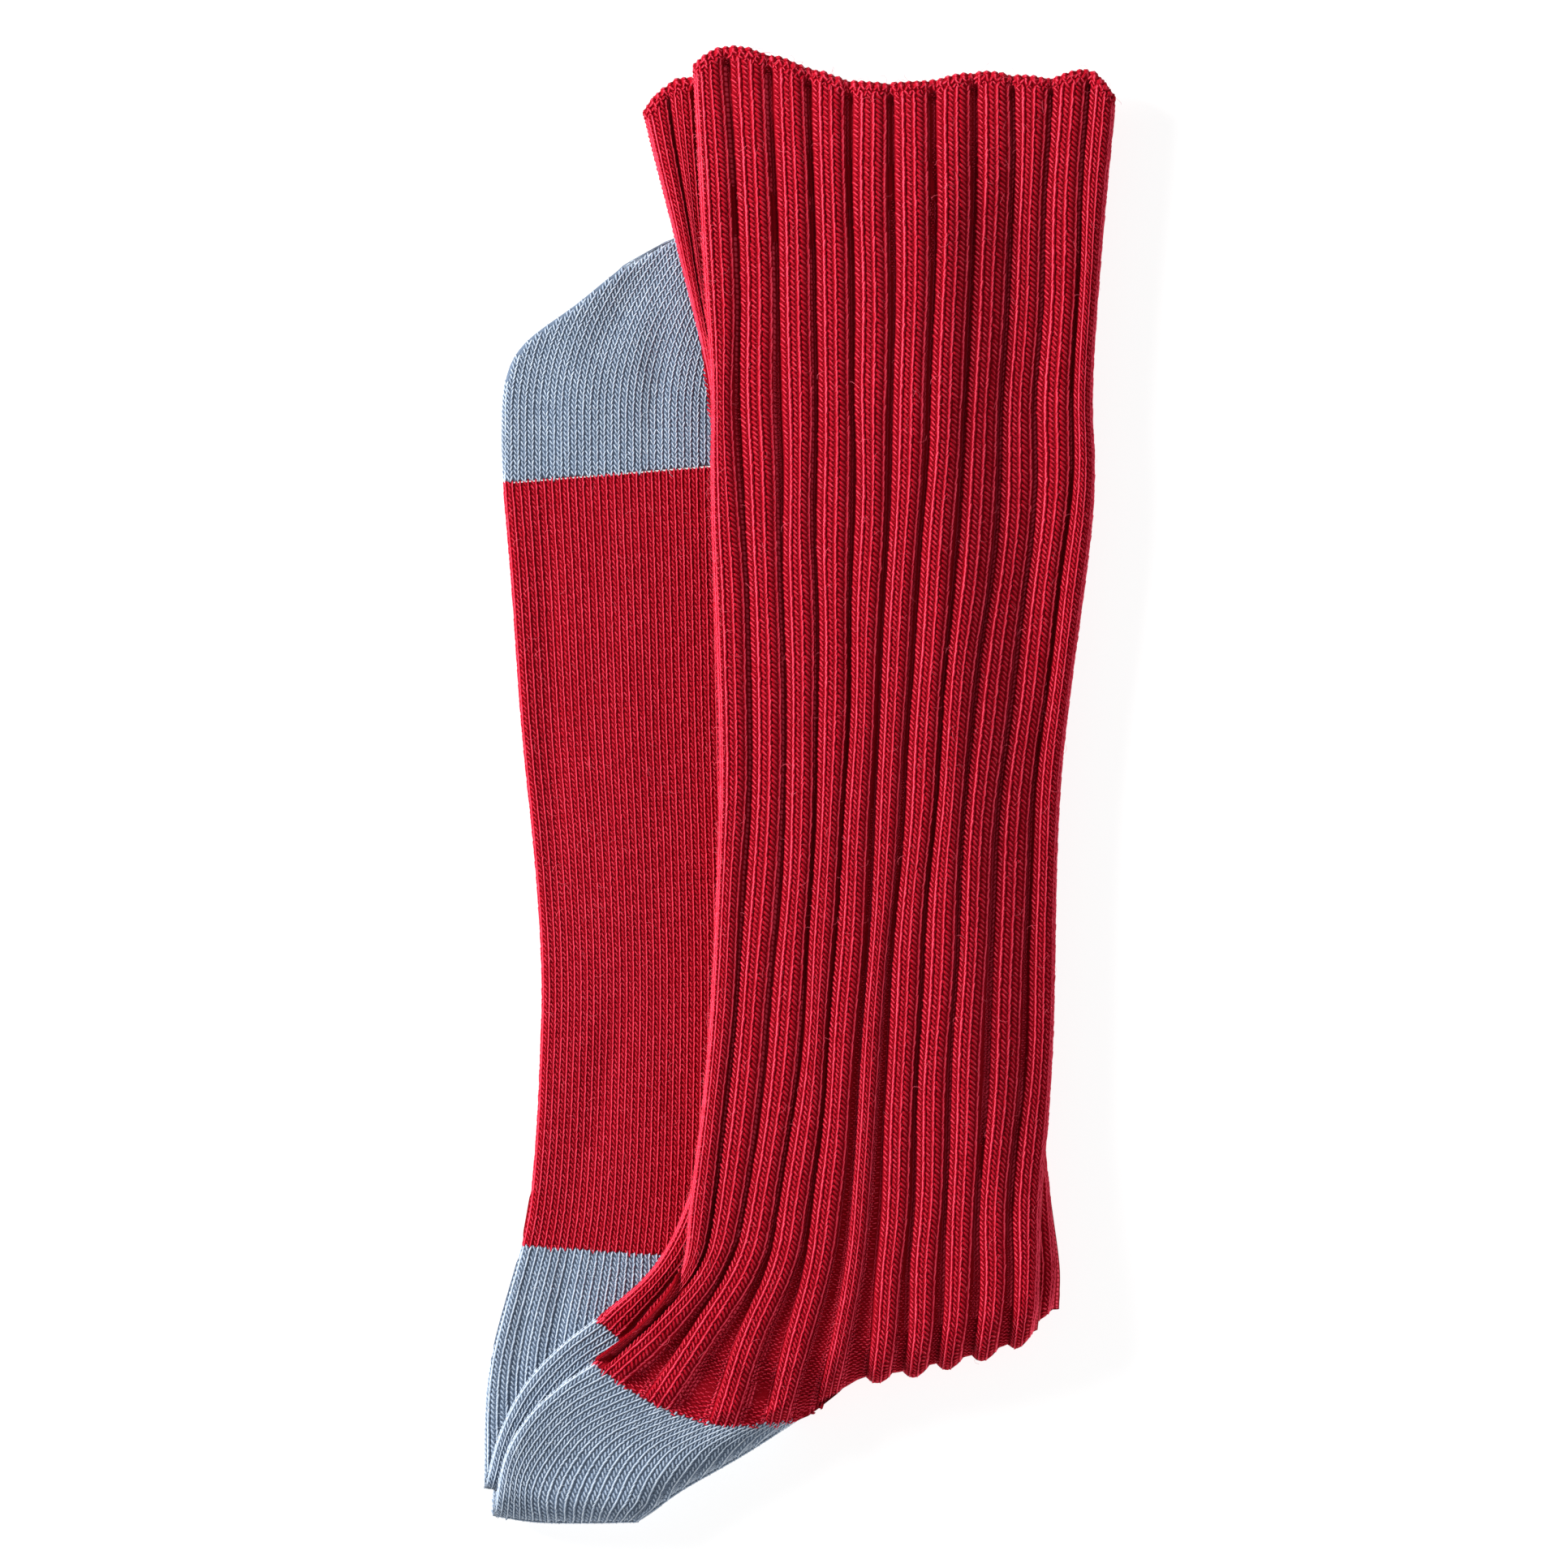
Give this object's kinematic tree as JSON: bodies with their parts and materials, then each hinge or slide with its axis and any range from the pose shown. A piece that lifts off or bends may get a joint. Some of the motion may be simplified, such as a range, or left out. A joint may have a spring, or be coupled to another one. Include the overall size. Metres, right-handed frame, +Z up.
{
  "type": "pair of socks",
  "caption": "Rib-knit crew socks laid one in the other and folded flat at the heel, with plain contrast heels and toes.",
  "frame": {"origin": "under the middle of the folded pair, on the surface it lies on", "axes": "+Z up, +Y towards the cuffs, -X the side of the soles"},
  "size_m": [0.1207, 0.282, 0.0167],
  "materials": {
    "cherry_red_cotton": "matt brushed cotton knit",
    "blue_grey_cotton": "matt cotton knit"
  },
  "bodies": {
    "root": {"outer_leg": "cherry_red_cotton", "outer_heel_upper": "blue_grey_cotton", "outer_heel_lower": "blue_grey_cotton", "outer_foot": "cherry_red_cotton", "outer_toe": "blue_grey_cotton", "inner_leg": "cherry_red_cotton", "inner_heel_upper": "blue_grey_cotton", "inner_heel_lower": "blue_grey_cotton", "inner_foot": "cherry_red_cotton", "inner_toe": "blue_grey_cotton"}
  },
  "joints": []
}
